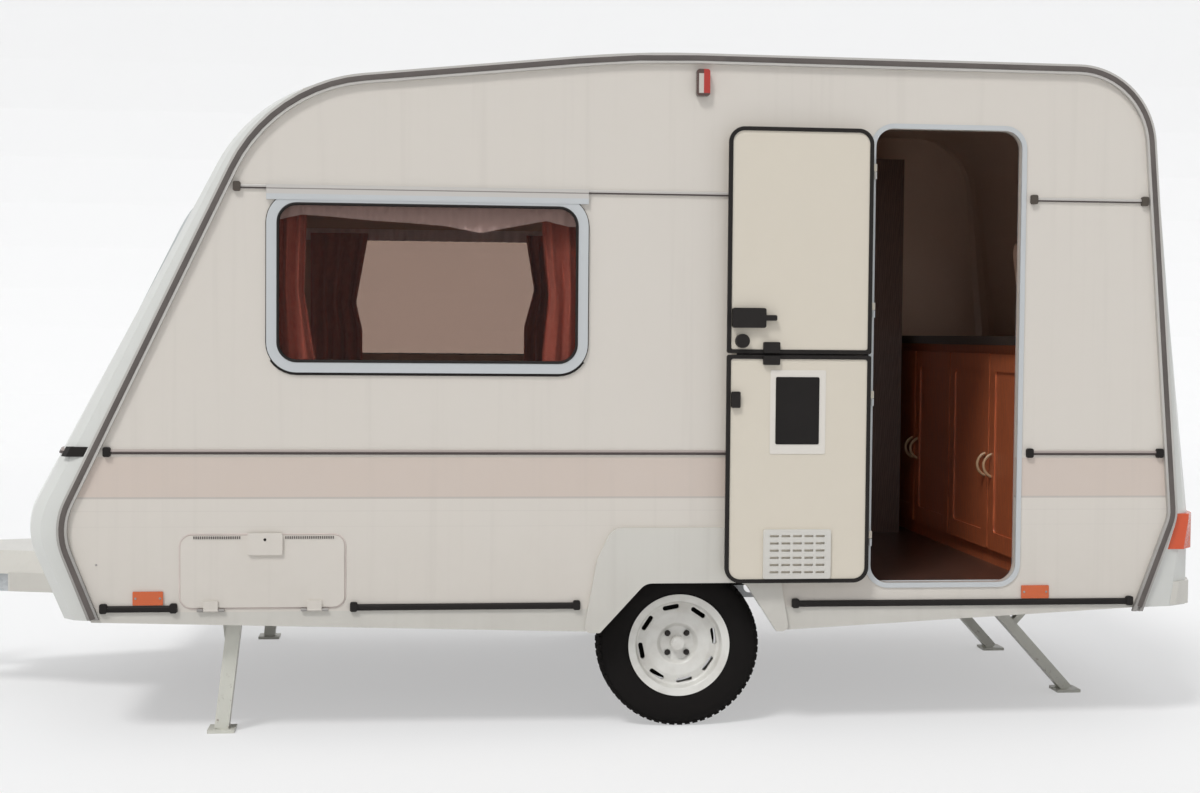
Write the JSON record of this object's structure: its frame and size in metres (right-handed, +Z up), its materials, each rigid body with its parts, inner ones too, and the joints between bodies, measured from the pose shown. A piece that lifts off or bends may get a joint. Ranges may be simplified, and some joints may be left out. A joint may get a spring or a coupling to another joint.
{
  "type": "touring caravan",
  "caption": "Two-berth travel caravan on a single axle, with stable door, corner steadies, jockey wheel, tow coupling, roof light and a furnished cabin.",
  "frame": {"origin": "on the ground, midway along the overall length and on the centre plane", "axes": "+X forward to the tow coupling, +Y to the nearside (the door side), +Z up"},
  "size_m": [5.5197, 2.206, 2.507],
  "materials": {
    "alloy": "satin",
    "galvanised": "galvanised",
    "black_plastic": "matt",
    "curtain_cloth": "woven",
    "door_liner": "satin",
    "seal_rubber": "matt",
    "white_moulding": "gloss",
    "floor_board": "satin",
    "black_steel": "satin",
    "tyre": "matt",
    "furniture_wood": "satin",
    "worktop": "satin",
    "red_lens": "gloss",
    "white_skin": "satin stucco sheet",
    "cushion_cloth": "woven",
    "wheel_white": "gloss",
    "clear_lid": "opal",
    "dark_wood": "satin",
    "window_alloy": "satin",
    "tinted_pane": "clear, tinted"
  },
  "bodies": {
    "caravan": {"awning_rails": "alloy", "axle": "galvanised", "chassis_frame": "galvanised", "coupling_head": "galvanised", "coupling_tube": "black_plastic", "curtains": "curtain_cloth", "door_frame": "alloy", "drawbar": "galvanised", "drawbar_fairing": "white_moulding", "floor_panel": "floor_board", "fridge_vents": "white_moulding", "front_panel": "white_moulding", "handbrake_lever": "black_steel", "jockey_tube": "galvanised", "kitchen_unit": "furniture_wood", "kitchen_worktop": "worktop", "lamps": "red_lens", "locker_hinges": "alloy", "lounge_bench": "furniture_wood", "lounge_cushions": "cushion_cloth", "rear_bumper": "white_moulding", "rear_panel": "white_moulding", "roof_light_kerb": "white_moulding", "roof_panel": "white_skin", "rub_strips": "black_plastic", "side_wall_nearside": "white_skin", "side_wall_offside": "white_skin", "skirts": "white_moulding", "steady_bases": "galvanised", "trim_strips": "alloy", "wardrobe": "dark_wood", "wheel_boxes": "black_plastic", "window_frames": "window_alloy", "window_panes": "tinted_pane"},
    "door_upper": {"door_leaf_upper": "door_liner", "door_seal_upper": "seal_rubber", "door_lock": "black_plastic"},
    "door_lower": {"door_leaf_lower": "door_liner", "door_seal_lower": "seal_rubber", "door_latch": "black_plastic", "door_vent": "white_moulding"},
    "locker": {"locker_door": "white_skin"},
    "wheel_nearside": {"tyre_nearside": "tyre", "rim_nearside": "wheel_white"},
    "wheel_offside": {"tyre_offside": "tyre", "rim_offside": "wheel_white"},
    "steady_front_nearside": {"steady_leg_front_nearside": "galvanised"},
    "steady_front_offside": {"steady_leg_front_offside": "galvanised"},
    "steady_rear_nearside": {"steady_leg_rear_nearside": "galvanised"},
    "steady_rear_offside": {"steady_leg_rear_offside": "galvanised"},
    "strut_front_nearside": {"steady_strut_front_nearside": "galvanised"},
    "strut_front_offside": {"steady_strut_front_offside": "galvanised"},
    "strut_rear_nearside": {"steady_strut_rear_nearside": "galvanised"},
    "strut_rear_offside": {"steady_strut_rear_offside": "galvanised"},
    "jockey_stem_body": {"jockey_stem": "galvanised"},
    "jockey_fork_body": {"jockey_fork": "galvanised"},
    "jockey_wheel_body": {"jockey_wheel": "tyre"},
    "roof_light": {"roof_light_lid": "clear_lid"}
  },
  "joints": [
    {"name": "door_upper_hinge", "type": "hinge", "parent": "caravan", "child": "door_upper", "pos_m": [-1.484, 1.066, 1.53], "axis": [0, 0, 1], "range_deg": [0, 180]},
    {"name": "door_lower_hinge", "type": "hinge", "parent": "caravan", "child": "door_lower", "pos_m": [-1.484, 1.066, 0.7], "axis": [0, 0, 1], "range_deg": [0, 180]},
    {"name": "locker_hinge", "type": "hinge", "parent": "caravan", "child": "locker", "pos_m": [0.695, 1.06, 0.455], "axis": [-1, 0, 0], "range_deg": [0, 90]},
    {"name": "wheel_nearside_spin", "type": "hinge", "parent": "caravan", "child": "wheel_nearside", "pos_m": [-0.8, 0.9, 0.298], "axis": [0, 1, 0], "continuous": true},
    {"name": "wheel_offside_spin", "type": "hinge", "parent": "caravan", "child": "wheel_offside", "pos_m": [-0.8, -0.9, 0.298], "axis": [0, 1, 0], "continuous": true},
    {"name": "steady_front_nearside_swing", "type": "hinge", "parent": "caravan", "child": "steady_front_nearside", "pos_m": [0.8, 0.93, 0.44], "axis": [0, -1, 0], "range_deg": [0, 74]},
    {"name": "steady_front_nearside_strut", "type": "hinge", "parent": "steady_front_nearside", "child": "strut_front_nearside", "pos_m": [0.81973, 0.93, 0.27115], "axis": [0, 1, 0], "range_deg": [0, 148]},
    {"name": "steady_front_offside_swing", "type": "hinge", "parent": "caravan", "child": "steady_front_offside", "pos_m": [0.8, -0.93, 0.44], "axis": [0, -1, 0], "range_deg": [0, 74]},
    {"name": "steady_front_offside_strut", "type": "hinge", "parent": "steady_front_offside", "child": "strut_front_offside", "pos_m": [0.81973, -0.93, 0.27115], "axis": [0, 1, 0], "range_deg": [0, 148]},
    {"name": "steady_rear_nearside_swing", "type": "hinge", "parent": "caravan", "child": "steady_rear_nearside", "pos_m": [-2.08, 0.455, 0.44], "axis": [0, 1, 0], "range_deg": [0, 36]},
    {"name": "steady_rear_nearside_strut", "type": "hinge", "parent": "steady_rear_nearside", "child": "strut_rear_nearside", "pos_m": [-2.23491, 0.455, 0.26999], "axis": [0, -1, 0], "range_deg": [0, 72]},
    {"name": "steady_rear_offside_swing", "type": "hinge", "parent": "caravan", "child": "steady_rear_offside", "pos_m": [-2.08, -0.455, 0.44], "axis": [0, 1, 0], "range_deg": [0, 36]},
    {"name": "steady_rear_offside_strut", "type": "hinge", "parent": "steady_rear_offside", "child": "strut_rear_offside", "pos_m": [-2.23491, -0.455, 0.26999], "axis": [0, -1, 0], "range_deg": [0, 72]},
    {"name": "jockey_slide", "type": "slide", "parent": "caravan", "child": "jockey_stem_body", "axis": [0, 0, 1], "range_m": [-0.08, 0.055]},
    {"name": "jockey_swivel", "type": "hinge", "parent": "jockey_stem_body", "child": "jockey_fork_body", "pos_m": [2.2, -0.20644, 0.242], "axis": [0, 0, 1], "continuous": true},
    {"name": "jockey_wheel_spin", "type": "hinge", "parent": "jockey_fork_body", "child": "jockey_wheel_body", "pos_m": [2.145, -0.20644, 0.105], "axis": [0, 1, 0], "continuous": true},
    {"name": "roof_light_hinge", "type": "hinge", "parent": "caravan", "child": "roof_light", "pos_m": [-1.157, 0, 2.465], "axis": [0, -1, 0], "range_deg": [0, 60]}
  ],
  "couplings": [
    {"joint": "steady_front_nearside_strut", "follows": "steady_front_nearside_swing", "ratio": 2},
    {"joint": "steady_front_offside_strut", "follows": "steady_front_offside_swing", "ratio": 2},
    {"joint": "steady_rear_nearside_strut", "follows": "steady_rear_nearside_swing", "ratio": 2},
    {"joint": "steady_rear_offside_strut", "follows": "steady_rear_offside_swing", "ratio": 2}
  ]
}
